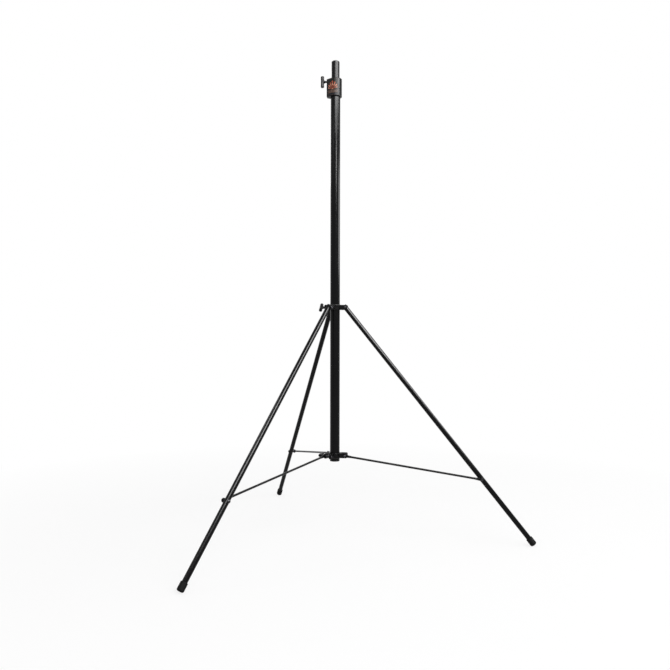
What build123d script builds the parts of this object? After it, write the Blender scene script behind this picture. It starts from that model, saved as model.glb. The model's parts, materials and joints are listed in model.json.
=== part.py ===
from build123d import *
import os
from math import atan2, cos, degrees, hypot, radians, sin, sqrt

# A tripod lighting stand: a fixed mast with a telescoping riser, three legs hinged on a sliding
# collar and three brace rods hinged on a second, lower collar. Millimetres, +Z up. The origin is
# the point of the floor under the mast's axis, and leg 1 points along +X.

# ---- mast and riser tubes
MAST_OD = 38.1
MAST_WALL = 1.6
MAST_LENGTH = 1484.0
MAST_BELOW_COLLAR = 10.5    # tube past the brace collar
RISER_OD = 31.75
RISER_WALL = 1.6
RISER_LENGTH = 1530.0
RISER_STANDOUT = 67.0       # riser tube above the head when the stand is lowered
RISER_OVERLAP_MIN = 290.0   # riser left inside the mast at full height
RISER_MARK_WIDTH = 1.2      # turned ring at the head that shows the riser is fully down
RISER_MARK_DEPTH = 0.3
RISER_CAP_HEIGHT = 4.0
RISER_CAP_CHAMFER = 3.0
PLUG_WALL = 1.8             # wall of the hollow spigots pressed into the tubes
PLUG_DEPTH = 18.0
MAST_PLUG_FLANGE = 3.0
MAST_PLUG_EDGE_R = 1.0
BUSH_LENGTH = 40.0
BUSH_FLANGE = 1.5
GLIDE_HEIGHT = 12.0
GLIDE_SPIGOT = 26.0
GLIDE_CHAMFER = 1.5

# ---- legs
LEG_COUNT = 3
LEG_OD = 19.05
LEG_WALL = 1.2
LEG_LENGTH = 1152.5         # pivot to the rubber tip
LEG_TILT = 38.7             # from the vertical, spread
LEG_TOP_OVER = 9.0          # leg past its pivot
LEG_PLUG_FLANGE = 1.4
FOOT_WALL = 2.9
FOOT_LENGTH = 30.0
FOOT_SOLE = 5.5
FOOT_EDGE_R = 5.5
FOOT_RIM_R = 1.0

# ---- braces
BRACE_DIA = 8.0
BRACE_PIVOT_Z = 323.0
BRACE_JOINT_DOWN_LEG = 842.0
EYE_R = 8.0
EYE_THICK = 4.5
EYE_TAB = 11.0              # width of the flattened rod behind the eye
EYE_PAST_LUG = 2.5          # flattened rod past the end of the cheek
EYE_NECK = 28.0             # from the eye's centre to the full round rod
SPACER_R = 6.0

# ---- collar castings
LINER_WALL = 1.2
LINER_FLANGE = 1.2
COLLAR_WALL = 4.0
LUG_HEIGHT = 19.5
LUG_CORNER_R = 5.0
LUG_REACH = 8.5             # cheek past its pivot
CHEEK_THICK = 4.0
CLEVIS_FLOOR = 2.0
CAST_EDGE_R = 0.9
BOSS_R = 8.5
BOSS_EDGE_R = 1.5

# ---- head
HEAD_R = 25.3
HEAD_HEIGHT = 71.0
HEAD_SOCKET = 52.0          # mast inside the head
HEAD_NOSE_HALF = 9.5
HEAD_NOSE_CORNER = 3.0
HEAD_EDGE_R = 2.0
HEAD_MOUTH_CHAMFER = 1.5
HEAD_SCREW_DOWN = 8.0
LABEL_THICK = 0.3
LABEL_HEIGHT = 65.0
LABEL_FROM_BASE = 3.0
LABEL_X = (-27.0, 12.0)
GRUB_R = 2.5
GRUB_Z = (14.0, 38.0)       # above the head's base
GRUB_KEY_AF = 2.5
GRUB_KEY_DEPTH = 2.4
GRUB_SUNK = 0.6

# ---- tee screws
STUD_R = 4.0
STUD_PITCH = 1.25
PAD_R = 4.75
PAD_LENGTH = 5.0
PAD_LIP_R = 2.6             # stud's turned nose, held in the pad
PAD_LIP = 3.0
NOSE_END_CLEAR = 0.2        # nose to the bottom of the pad's socket
STUD_CHAMFER = 0.6
TEE_REACH = 36.2            # pad face to the tee bar's axis
TEE_BAR_R = 6.75
TEE_BAR_LENGTH = 44.5
TEE_BAR_EDGE_R = 2.7
TEE_HUB_LENGTH = 6.2
TEE_HUB_R = 4.7             # at the stud
TEE_HUB_HALF_LENGTH = 9.0   # where it flows into the bar, along the bar
TEE_HUB_SUNK = 2.5          # the hub's wide end, short of the bar's axis
TEE_GAP = 5.0               # bare stud between hub and boss, tightened
TEE_TURN = {"head": 0.0, "leg_collar": 54.0, "brace_collar": 90.0}

# ---- bolts
BOLT_R = 3.0
BOLT_HEAD_AF = 10.0
BOLT_HEAD = 4.0
NUT_HEIGHT = 6.0
NUT_COLLAR = 1.6            # nylon ring on top of a lock nut
BOLT_TAIL = 1.5
BARREL_R = 4.0
BARREL_HEAD_R = 6.5
BARREL_HEAD = 3.5
BARREL_DOME_R = 2.45

# ---- clearances
HINGE_FIT = 0.06            # radius, bolt in a turning part
RUN_FIT = 0.08              # radius, sliding or turning sleeves and studs
SEAT_FIT = 0.02             # radius, parts pressed together
COLLAR_CLEAR = 0.3          # radius, liner to mast
SIDE_CLEAR = 0.475          # leg tube to each cheek
FACE_CLEAR = 0.3            # flat faces of parts that turn on each other
SWING_CLEAR = 1.9           # leg's end to the clevis floor
PAD_CLEAR = 0.2             # pad to the tube it clamps
PAD_BORE_CLEAR = 0.35

# ---- worked out from the above
mast_r = MAST_OD / 2
mast_bore_r = mast_r - MAST_WALL
riser_r = RISER_OD / 2
riser_bore_r = riser_r - RISER_WALL
leg_r = LEG_OD / 2
foot_r = leg_r + FOOT_WALL

liner_bore_r = mast_r + COLLAR_CLEAR
collar_bore_r = liner_bore_r + LINER_WALL
ring_r = collar_bore_r + COLLAR_WALL
clevis_floor_r = ring_r + CLEVIS_FLOOR
pivot_r = clevis_floor_r + hypot(LEG_TOP_OVER, leg_r) + SWING_CLEAR
lug_end_r = pivot_r + LUG_REACH
cheek_inner = leg_r + SIDE_CLEAR
cheek_outer = cheek_inner + CHEEK_THICK
half_lug = LUG_HEIGHT / 2

leg_tilt = radians(LEG_TILT)
leg_tip_z = FOOT_EDGE_R * (1 - cos(leg_tilt)) + (foot_r - FOOT_EDGE_R) * sin(leg_tilt)
leg_pivot_z = leg_tip_z + LEG_LENGTH * cos(leg_tilt)

brace_side = cheek_outer + FACE_CLEAR + EYE_THICK / 2
joint_r = pivot_r + BRACE_JOINT_DOWN_LEG * sin(leg_tilt)
joint_z = leg_pivot_z - BRACE_JOINT_DOWN_LEG * cos(leg_tilt)
brace_length = hypot(joint_r - pivot_r, joint_z - BRACE_PIVOT_Z)
brace_slope = degrees(atan2(joint_z - BRACE_PIVOT_Z, joint_r - pivot_r))

mast_base_z = BRACE_PIVOT_Z - half_lug - MAST_BELOW_COLLAR
mast_top_z = mast_base_z + MAST_LENGTH
head_base_z = mast_top_z - HEAD_SOCKET
head_top_z = head_base_z + HEAD_HEIGHT
head_screw_z = head_top_z - HEAD_SCREW_DOWN
riser_top_z = head_top_z + RISER_STANDOUT
riser_base_z = riser_top_z - RISER_LENGTH
riser_travel = mast_top_z - RISER_OVERLAP_MIN - riser_base_z
fold_travel = BRACE_PIVOT_Z + brace_length + BRACE_JOINT_DOWN_LEG - leg_pivot_z

tee_bar_offset = PAD_CLEAR + TEE_REACH
boss_offset = tee_bar_offset - TEE_BAR_R - TEE_HUB_LENGTH - TEE_GAP
boss_end_r = mast_r + boss_offset
head_nose_x = riser_r + boss_offset

UP = (Align.CENTER, Align.CENTER, Align.MIN)
DOWN = (Align.CENTER, Align.CENTER, Align.MAX)


# ---- shapes used more than once

def rod(radius, z_low, z_high):
    """Upright round bar on the Z axis."""
    return Pos(0, 0, z_low) * Cylinder(radius, z_high - z_low, align=UP)


def sleeve(outer_r, inner_r, z_low, z_high):
    """Upright round tube on the Z axis."""
    return rod(outer_r, z_low, z_high) - rod(inner_r, z_low - 1, z_high + 1)


def across(shape):
    """Turn an upright shape so that its +Z lies along +Y."""
    return Rot(-90, 0, 0) * shape


def hexagon(flats, z_low, z_high):
    """Upright hexagonal prism with chamfered top corners, on the Z axis."""
    prism = Pos(0, 0, z_low) * extrude(RegularPolygon(flats / 2, 6, major_radius=False), z_high - z_low)
    corner_r = flats / sqrt(3)
    height = z_high - z_low
    cone = Pos(0, 0, z_high) * Cone(corner_r + height, corner_r - 0.8, height + 0.8, align=DOWN)
    return prism & cone


def around_mast(index, shape):
    """Turn a shape made for leg 1 to the place of another leg."""
    return Rot(0, 0, index * 360 / LEG_COUNT) * shape


def on_leg(shape):
    """Put a shape, made with the leg hanging from the origin, on the spread leg 1."""
    return Pos(pivot_r, 0, leg_pivot_z) * Rot(0, -LEG_TILT, 0) * shape


def on_brace(shape):
    """Put a shape, made with the brace along +X from the origin, on the spread brace 1."""
    return Pos(pivot_r, -brace_side, BRACE_PIVOT_Z) * Rot(0, -brace_slope, 0) * shape


def group(shapes):
    return Compound(children=list(shapes))


# ---- mast and head

def mast_tube():
    return sleeve(mast_r, mast_bore_r, mast_base_z, mast_top_z)


def mast_end_plug():
    """Moulded plug: a rounded flange under the tube's end and a hollow spigot inside it."""
    flange = rod(mast_r, mast_base_z - MAST_PLUG_FLANGE, mast_base_z)
    flange = fillet(flange.edges().sort_by(Axis.Z)[0], MAST_PLUG_EDGE_R)
    spigot_r = mast_bore_r - SEAT_FIT
    return flange + sleeve(spigot_r, spigot_r - PLUG_WALL, mast_base_z, mast_base_z + PLUG_DEPTH)


def head_plan(grow=0.0):
    """Teardrop section of the head: a circle round the mast drawn out to a narrow nose at -X."""
    corner_r = HEAD_NOSE_CORNER + grow
    with BuildSketch() as plan:
        Circle(HEAD_R + grow)
        with Locations(
            (HEAD_NOSE_CORNER - head_nose_x, HEAD_NOSE_HALF - HEAD_NOSE_CORNER),
            (HEAD_NOSE_CORNER - head_nose_x, HEAD_NOSE_CORNER - HEAD_NOSE_HALF),
        ):
            Circle(corner_r)
        make_hull()
    return plan.sketch


def head_casting():
    """Head block: socket for the mast below, guide for the riser above, tapped through its nose."""
    block = Pos(0, 0, head_base_z) * extrude(head_plan(), HEAD_HEIGHT)
    faces = block.faces().sort_by(Axis.Z)
    block = fillet(faces[0].edges() + faces[-1].edges(), HEAD_EDGE_R)
    socket_top = mast_top_z + BUSH_FLANGE
    block -= rod(mast_r + SEAT_FIT, head_base_z - 1, socket_top)
    throat_r = riser_r + COLLAR_CLEAR
    block -= rod(throat_r, socket_top - 1, head_top_z + 1)
    block -= Pos(0, 0, head_top_z) * Cone(
        throat_r, throat_r + HEAD_MOUTH_CHAMFER, HEAD_MOUTH_CHAMFER, align=DOWN
    )
    block -= tee_axis(head_screw_z, screw_hole(riser_r, head_nose_x))
    for height in GRUB_Z:
        block -= Pos(0, 0, head_base_z + height) * across(rod(GRUB_R + SEAT_FIT, 0, HEAD_R + 1))
    return block


def head_grub_screws():
    """Two socket set screws at the back, which pin the head to the mast tube."""
    end_r = HEAD_R - GRUB_SUNK
    screw = rod(GRUB_R, mast_r + SEAT_FIT, end_r)
    key = extrude(RegularPolygon(GRUB_KEY_AF / 2, 6, major_radius=False), GRUB_KEY_DEPTH + 1)
    key = Pos(0, 0, end_r - GRUB_KEY_DEPTH) * key
    screw = across(screw - key)
    return group(Pos(0, 0, head_base_z + height) * screw for height in GRUB_Z)


def head_label():
    """Foil label wrapped round the front of the head."""
    low_x, high_x = LABEL_X
    skin = extrude(head_plan(LABEL_THICK) - head_plan(), LABEL_HEIGHT)
    window = Pos(low_x, 0, 0) * Box(
        high_x - low_x, 2 * HEAD_R, LABEL_HEIGHT, align=(Align.MIN, Align.MAX, Align.MIN)
    )
    return Pos(0, 0, head_base_z + LABEL_FROM_BASE) * (skin & window)


def guide_bush():
    """Nylon bush in the mouth of the mast, with a flange on the tube's end."""
    bore_r = riser_r + RUN_FIT
    body = sleeve(mast_bore_r - SEAT_FIT, bore_r, mast_top_z - BUSH_LENGTH, mast_top_z)
    return body + sleeve(mast_r, bore_r, mast_top_z, mast_top_z + BUSH_FLANGE)


# ---- riser

def riser_tube():
    tube = sleeve(riser_r, riser_bore_r, riser_base_z, riser_top_z)
    mark = sleeve(riser_r + 1, riser_r - RISER_MARK_DEPTH, 0, RISER_MARK_WIDTH)
    return tube - Pos(0, 0, head_top_z) * mark


def riser_cap():
    """Moulded cap with a broad chamfer, pressed into the top of the riser."""
    head = rod(riser_r, riser_top_z, riser_top_z + RISER_CAP_HEIGHT)
    head = chamfer(head.edges().sort_by(Axis.Z)[-1], RISER_CAP_CHAMFER)
    spigot_r = riser_bore_r - SEAT_FIT
    return head + sleeve(spigot_r, spigot_r - PLUG_WALL, riser_top_z - PLUG_DEPTH, riser_top_z)


def riser_glide():
    """Nylon foot of the riser: it runs in the mast's bore, and the riser tube turns on its spigot."""
    foot_rim_r = mast_bore_r - COLLAR_CLEAR
    foot = rod(foot_rim_r, riser_base_z - GLIDE_HEIGHT, riser_base_z)
    foot = chamfer(foot.edges().sort_by(Axis.Z)[0], GLIDE_CHAMFER)
    spigot_r = riser_bore_r - RUN_FIT
    return foot + sleeve(spigot_r, spigot_r - PLUG_WALL, riser_base_z, riser_base_z + GLIDE_SPIGOT)


# ---- tee screws

def tee_axis(height, shape):
    """Lay an upright shape along -X, out from the mast at the height of a tee screw."""
    return Pos(0, 0, height) * Rot(0, -90, 0) * shape


def screw_hole(tube_r, face_r):
    """Tapped hole with a wider chamber for the pad at its inner end."""
    hole = rod(STUD_R + RUN_FIT, tube_r, face_r + 1)
    chamber_r = PAD_R + PAD_BORE_CLEAR
    return hole + rod(chamber_r, 0, tube_r + PAD_CLEAR + PAD_LENGTH + 2 * STUD_PITCH)


def lock_pad(tube_r):
    """Nylon pad that bears on the tube, with a socket for the stud's nose."""
    face = tube_r + PAD_CLEAR
    back = face + PAD_LENGTH
    return rod(PAD_R, face, back) - rod(PAD_LIP_R + RUN_FIT, back - PAD_LIP, back + 1)


def lock_stud(tube_r):
    """Threaded stud with a turned nose, moulded into the tee."""
    shoulder = tube_r + PAD_CLEAR + PAD_LENGTH
    bar = tube_r + tee_bar_offset
    nose = rod(PAD_LIP_R, shoulder - PAD_LIP + NOSE_END_CLEAR, shoulder + 1)
    shank = rod(STUD_R, shoulder, bar)
    return nose + chamfer(shank.edges().sort_by(Axis.Z)[0], STUD_CHAMFER)


def lock_tee(tube_r, turn):
    """Tee handle: a round-ended bar that flows into a tapered hub, upright at a turn of 0."""
    bar_at = tube_r + tee_bar_offset
    bar = Rot(0, 90, 0) * Cylinder(TEE_BAR_R, TEE_BAR_LENGTH)
    bar = fillet(bar.edges().filter_by(GeomType.CIRCLE), TEE_BAR_EDGE_R)
    flare = Pos(0, 0, -TEE_HUB_SUNK) * Ellipse(TEE_HUB_HALF_LENGTH, TEE_BAR_R * 0.9)
    small_end = Pos(0, 0, -TEE_BAR_R - TEE_HUB_LENGTH) * Circle(TEE_HUB_R)
    tee = Pos(0, 0, bar_at) * (bar + loft([small_end, flare]))
    tee -= rod(STUD_R + SEAT_FIT, 0, bar_at)
    return Rot(0, 0, turn) * tee


# ---- collars

def cheek():
    """One cheek of a clevis: an upright plate from the mast outwards, rounded at its free corners."""
    root_r = mast_r - 2
    plate = Pos(root_r, 0, 0) * Box(
        lug_end_r - root_r, CHEEK_THICK, LUG_HEIGHT, align=(Align.MIN, Align.CENTER, Align.CENTER)
    )
    corners = plate.edges().filter_by(Axis.Y).sort_by(Axis.X)[-2:]
    plate = fillet(corners, LUG_CORNER_R)
    sides = plate.faces().sort_by(Axis.Y)
    return fillet(sides[0].edges() + sides[-1].edges(), CAST_EDGE_R)


def collar_casting():
    """Collar with three clevises and a tapped boss, its pivots at z = 0."""
    ring = rod(ring_r, -half_lug, half_lug)
    ring = fillet(ring.edges().filter_by(GeomType.CIRCLE), CAST_EDGE_R)
    root = Pos(mast_r, 0, 0) * Box(
        clevis_floor_r - mast_r, 2 * cheek_outer, LUG_HEIGHT, align=(Align.MIN, Align.CENTER, Align.CENTER)
    )
    root = fillet(root.edges().filter_by(Axis.Y), CAST_EDGE_R)
    boss = fillet(rod(BOSS_R, mast_r, boss_end_r).edges().sort_by(Axis.Z)[-1], BOSS_EDGE_R)
    casting = ring + tee_axis(0, boss)
    plate, cheek_middle = cheek(), cheek_inner + CHEEK_THICK / 2
    for index in range(LEG_COUNT):
        for side in (1, -1):
            casting += around_mast(index, Pos(0, side * cheek_middle, 0) * plate)
        casting += around_mast(index, root)
    casting -= rod(collar_bore_r, -half_lug - 1, half_lug + 1)
    casting -= tee_axis(0, screw_hole(mast_r, boss_end_r))
    pivot = Pos(pivot_r, 0, 0) * across(Cylinder(BOLT_R + SEAT_FIT, 4 * cheek_outer))
    for index in range(LEG_COUNT):
        casting -= around_mast(index, pivot)
    return casting


def collar_liner():
    """Nylon sleeve inside a collar, with a thin flange on its face and a window for the pad."""
    liner = sleeve(collar_bore_r, liner_bore_r, -half_lug, half_lug)
    liner += sleeve(collar_bore_r + 2, liner_bore_r, half_lug, half_lug + LINER_FLANGE)
    return liner - tee_axis(0, rod(PAD_R + PAD_BORE_CLEAR, 0, ring_r))


def as_leg_collar(shape):
    return Pos(0, 0, leg_pivot_z) * shape


def as_brace_collar(shape):
    """The same casting upside down."""
    return Pos(0, 0, BRACE_PIVOT_Z) * Rot(180, 0, 0) * shape


# ---- pivots

def hex_bolt(tail):
    """Bolt across a clevis: its head on the outside of the +Y cheek, its end at y = -tail."""
    head = hexagon(BOLT_HEAD_AF, cheek_outer, cheek_outer + BOLT_HEAD)
    shank = rod(BOLT_R, -tail, cheek_outer + 1)
    return across(head + shank)


def lock_nut(seat):
    """Nut with a nylon ring, its flat seat facing +Y at y = -seat."""
    body_height = NUT_HEIGHT - NUT_COLLAR
    body = hexagon(BOLT_HEAD_AF, 0, body_height)
    ring = rod(BOLT_HEAD_AF / 2 - 0.4, body_height - 0.5, NUT_HEIGHT)
    nut = body + ring - rod(BOLT_R + SEAT_FIT, -1, NUT_HEIGHT + 1)
    return Pos(0, -seat, 0) * Rot(90, 0, 0) * nut


def at_pivots(height, shape):
    """One copy of a pivot part for each leg."""
    return group(
        around_mast(index, Pos(pivot_r, 0, height) * shape) for index in range(LEG_COUNT)
    )


def leg_pivot_bolts():
    return at_pivots(leg_pivot_z, hex_bolt(cheek_outer + NUT_HEIGHT + BOLT_TAIL))


def leg_pivot_nuts():
    return at_pivots(leg_pivot_z, lock_nut(cheek_outer))


def brace_nut_seat():
    return brace_side + EYE_THICK / 2 + FACE_CLEAR


def brace_pivot_bolts():
    return at_pivots(BRACE_PIVOT_Z, hex_bolt(brace_nut_seat() + NUT_HEIGHT + BOLT_TAIL))


def brace_pivot_nuts():
    return at_pivots(BRACE_PIVOT_Z, lock_nut(brace_nut_seat()))


def brace_pivot_spacers():
    """Steel tubes between the cheeks, round the brace bolts."""
    tube = sleeve(SPACER_R, BOLT_R + SEAT_FIT, -cheek_inner, cheek_inner)
    return at_pivots(BRACE_PIVOT_Z, across(tube))


# ---- legs, made hanging down from the pivot at the origin

def leg_tube():
    tube_top = LEG_TOP_OVER - LEG_PLUG_FLANGE
    tube = sleeve(leg_r, leg_r - LEG_WALL, FOOT_SOLE - LEG_LENGTH, tube_top)
    tube -= across(Cylinder(BOLT_R + HINGE_FIT, 2 * LEG_OD))
    return tube - Pos(0, 0, -BRACE_JOINT_DOWN_LEG) * across(Cylinder(BARREL_R + SEAT_FIT, 2 * LEG_OD))


def leg_top_plug():
    """Moulded plug in the leg's upper end, drilled for the pivot bolt."""
    tube_top = LEG_TOP_OVER - LEG_PLUG_FLANGE
    flange = rod(leg_r, tube_top, LEG_TOP_OVER)
    flange = fillet(flange.edges().sort_by(Axis.Z)[-1], LEG_PLUG_FLANGE * 0.6)
    plug = flange + rod(leg_r - LEG_WALL - SEAT_FIT, tube_top - PLUG_DEPTH, tube_top)
    return plug - across(Cylinder(BOLT_R + HINGE_FIT, 2 * LEG_OD))


def leg_foot():
    """Rubber cap over the leg's end with a rounded sole."""
    sole_z = -LEG_LENGTH
    rim_z = sole_z + FOOT_LENGTH
    cap = rod(foot_r, sole_z, rim_z)
    rims = cap.edges().filter_by(GeomType.CIRCLE).sort_by(Axis.Z)
    cap = fillet(rims[0], FOOT_EDGE_R)
    cap = fillet(cap.edges().filter_by(GeomType.CIRCLE).sort_by(Axis.Z)[-1], FOOT_RIM_R)
    return cap - rod(leg_r, sole_z + FOOT_SOLE, rim_z + 1)


def leg_barrel_nut():
    """Sleeve nut through the leg: its domed head on the +Y side, its mouth flush on the -Y side."""
    barrel = sleeve(BARREL_R, BOLT_R, -leg_r, leg_r)
    head = rod(BARREL_HEAD_R, leg_r, leg_r + BARREL_HEAD)
    head = fillet(head.edges().sort_by(Axis.Z)[-1], BARREL_DOME_R)
    return Pos(0, 0, -BRACE_JOINT_DOWN_LEG) * across(barrel + head)


# ---- braces, made along +X from the inner eye at the origin

def flat_eye():
    """End of the rod, hammered flat and rounded, drilled for a bolt."""
    eye = across(Cylinder(EYE_R, EYE_THICK))
    flat = RectangleRounded(EYE_THICK, EYE_TAB, EYE_THICK * 0.49)
    flat_end = LUG_REACH + EYE_PAST_LUG
    tab = extrude(Plane.YZ * flat, flat_end)
    flare = loft([Plane.YZ.offset(flat_end) * flat, Plane.YZ.offset(EYE_NECK) * Circle(BRACE_DIA / 2)])
    return eye + tab + flare


def brace_rod():
    straight = Pos(EYE_NECK, 0, 0) * Rot(0, 90, 0) * Cylinder(
        BRACE_DIA / 2, brace_length - 2 * EYE_NECK, align=UP
    )
    inner = flat_eye()
    outer = Pos(brace_length, 0, 0) * Rot(0, 0, 180) * flat_eye()
    brace = straight + inner + outer
    brace -= across(Cylinder(BOLT_R + HINGE_FIT, 2 * BRACE_DIA))
    return brace - Pos(brace_length, 0, 0) * across(Cylinder(BOLT_R + SEAT_FIT, 2 * BRACE_DIA))


def brace_gap():
    """From the eye's face to the side of the leg, less the clearance there."""
    return brace_side - EYE_THICK / 2 - leg_r - FACE_CLEAR


def brace_screw():
    """Screw through the outer eye and its spacer, towards the leg's barrel nut."""
    seat = EYE_THICK / 2
    head = Pos(0, -seat, 0) * Rot(90, 0, 0) * hexagon(BOLT_HEAD_AF, 0, BOLT_HEAD)
    shank = across(rod(BOLT_R, -seat - 1, seat + brace_gap()))
    return Pos(brace_length, 0, 0) * (head + shank)


def brace_spacer():
    seat = EYE_THICK / 2
    tube = sleeve(SPACER_R, BOLT_R + SEAT_FIT, seat, seat + brace_gap())
    return Pos(brace_length, 0, 0) * across(tube)


# ---- the whole stand, node by node

def build():
    nodes = {
        "mast_tube": mast_tube(),
        "mast_end_plug": mast_end_plug(),
        "head_casting": head_casting(),
        "head_grub_screws": head_grub_screws(),
        "head_label": head_label(),
        "guide_bush": guide_bush(),
        "riser_tube": riser_tube(),
        "riser_cap": riser_cap(),
        "riser_glide": riser_glide(),
        "leg_collar": as_leg_collar(collar_casting()),
        "leg_collar_liner": as_leg_collar(collar_liner()),
        "leg_pivot_bolts": leg_pivot_bolts(),
        "leg_pivot_nuts": leg_pivot_nuts(),
        "brace_collar": as_brace_collar(collar_casting()),
        "brace_collar_liner": as_brace_collar(collar_liner()),
        "brace_pivot_bolts": brace_pivot_bolts(),
        "brace_pivot_nuts": brace_pivot_nuts(),
        "brace_pivot_spacers": brace_pivot_spacers(),
    }
    locks = {
        "head": (riser_r, head_screw_z),
        "leg_collar": (mast_r, leg_pivot_z),
        "brace_collar": (mast_r, BRACE_PIVOT_Z),
    }
    for place, (tube_r, height) in locks.items():
        nodes[f"{place}_lock_pad"] = tee_axis(height, lock_pad(tube_r))
        nodes[f"{place}_lock_stud"] = tee_axis(height, lock_stud(tube_r))
        nodes[f"{place}_lock_tee"] = tee_axis(height, lock_tee(tube_r, TEE_TURN[place]))
    leg_pieces = {
        "leg_tube": leg_tube(),
        "leg_top_plug": leg_top_plug(),
        "leg_foot": leg_foot(),
        "leg_barrel_nut": leg_barrel_nut(),
    }
    brace_pieces = {
        "brace_rod": brace_rod(),
        "brace_screw": brace_screw(),
        "brace_spacer": brace_spacer(),
    }
    for index in range(LEG_COUNT):
        for name, piece in leg_pieces.items():
            nodes[f"{name}_{index + 1}"] = around_mast(index, on_leg(piece))
        for name, piece in brace_pieces.items():
            nodes[f"{name}_{index + 1}"] = around_mast(index, on_brace(piece))
    return nodes


os.makedirs("parts", exist_ok=True)
for node, shape in build().items():
    export_step(shape, f"parts/{node}.step")
print(f"leg pivot z {leg_pivot_z:.3f} r {pivot_r:.3f}, brace {brace_length:.3f} at {brace_slope:.3f} deg")
print(f"fold travel {fold_travel:.3f}, riser travel {riser_travel:.3f}, head base {head_base_z:.3f}")
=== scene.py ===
"""Black tripod lighting stand: its fasteners, handles, feet, label and finishes, built on the CAD frame.

Sizes are in millimetres, as on a maker's drawing, and meshes are in metres. Each sub-assembly is a
class that holds its sizes and makes its own meshes. Every surface is a grid of points worked out with
numpy: a profile turned about an axis, or a section carried along a line.
"""

from __future__ import annotations

import json
import logging
import math
from dataclasses import dataclass, field
from enum import Enum

import bmesh
import bpy
import numpy as np
from mathutils import Matrix, Vector
from numpy.typing import NDArray

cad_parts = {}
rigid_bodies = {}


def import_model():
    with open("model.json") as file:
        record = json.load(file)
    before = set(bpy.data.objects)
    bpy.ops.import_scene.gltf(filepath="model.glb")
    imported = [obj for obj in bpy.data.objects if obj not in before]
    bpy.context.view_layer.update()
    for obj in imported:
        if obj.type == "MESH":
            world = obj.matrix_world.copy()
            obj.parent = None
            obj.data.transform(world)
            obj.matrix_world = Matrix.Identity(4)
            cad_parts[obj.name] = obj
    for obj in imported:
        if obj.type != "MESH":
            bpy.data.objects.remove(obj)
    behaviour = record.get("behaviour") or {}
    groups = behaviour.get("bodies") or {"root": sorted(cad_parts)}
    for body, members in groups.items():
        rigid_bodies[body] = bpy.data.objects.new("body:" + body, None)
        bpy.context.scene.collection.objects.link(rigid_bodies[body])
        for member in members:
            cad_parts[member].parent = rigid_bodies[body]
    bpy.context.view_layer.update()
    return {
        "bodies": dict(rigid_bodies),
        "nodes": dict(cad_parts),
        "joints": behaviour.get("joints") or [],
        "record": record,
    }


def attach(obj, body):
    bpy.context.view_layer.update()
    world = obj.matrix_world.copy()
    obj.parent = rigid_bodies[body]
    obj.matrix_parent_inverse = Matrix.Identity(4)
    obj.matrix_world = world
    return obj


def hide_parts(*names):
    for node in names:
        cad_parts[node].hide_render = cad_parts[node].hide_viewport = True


LOG = logging.getLogger("lighting_stand")
Array = NDArray[np.float64]
MM = 0.001
WELD_DISTANCE = 1e-7
SIDES = 48
# A thread's depth, its root's flat and its two flanks together, as shares of its pitch, and its rows
# of points in one pitch.
THREAD_DEPTH = 0.54
THREAD_FLAT = 0.25
THREAD_FLANKS = 0.625
THREAD_ROWS = 8
# A hexagon's chamfer: how far it runs out for each millimetre that it drops.
CHAMFER_SLOPE = math.tan(math.radians(60))
# The parts of a noise's range over which a finish goes from its plain colour to its handled one, and
# from its lowest roughness to its highest.
PATCH_RANGE = (0.45, 0.75)
GLOSS_RANGE = (0.3, 0.7)


# ---------------------------------------------------------------------------------- finishes


def linear(hex_colour: str) -> tuple[float, float, float, float]:
    """Turn an sRGB hex colour into the linear red, green, blue and alpha that a shader reads.

    Args:
        hex_colour: Six hex digits, with or without a leading '#'.

    Returns:
        The linear colour, with alpha 1.
    """
    digits = hex_colour.lstrip("#")
    parts = [int(digits[i : i + 2], 16) / 255 for i in (0, 2, 4)]
    red, green, blue = (c / 12.92 if c <= 0.04045 else ((c + 0.055) / 1.055) ** 2.4 for c in parts)
    return red, green, blue, 1.0


def add_node(
    tree: bpy.types.NodeTree,
    kind: str,
    settings: dict[str, object] | None = None,
    links: dict[str | int, bpy.types.NodeSocket] | None = None,
) -> bpy.types.Node:
    """Add a node, set its inputs or properties by name, and link sockets into its inputs.

    Args:
        tree: The node tree that gets the node.
        kind: The node's type.
        settings: Values by input name, or by property name where no input has that name.
        links: Output sockets by the name or number of the input that they feed.

    Returns:
        The new node.
    """
    node = tree.nodes.new(kind)
    for name, value in (settings or {}).items():
        if name in node.inputs:
            node.inputs[name].default_value = value
        else:
            setattr(node, name, value)
    for name, socket in (links or {}).items():
        tree.links.new(socket, node.inputs[name])
    return node


def blank_tree(owner: bpy.types.Material | bpy.types.World) -> bpy.types.NodeTree:
    """Switch a material or world to nodes, and empty its node tree.

    Args:
        owner: The material or world.

    Returns:
        Its node tree, without a node.
    """
    owner.use_nodes = True
    owner.node_tree.nodes.clear()
    return owner.node_tree


def ramp(start: tuple[float, float], end: tuple[float, float]) -> dict[str, object]:
    """Settings of a node that carries one range of values to another.

    Args:
        start: The lowest and the highest value that go in.
        end: The values that come out for them.

    Returns:
        The settings by input name.
    """
    (from_min, from_max), (to_min, to_max) = start, end
    return {"From Min": from_min, "From Max": from_max, "To Min": to_min, "To Max": to_max}


class Grain(Enum):
    """How a finish's fine pattern lies on the piece: even all round, or drawn out along Z."""

    EVEN = (1.0, 1.0, 1.0)
    DRAWN = (1.0, 1.0, 0.04)


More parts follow.
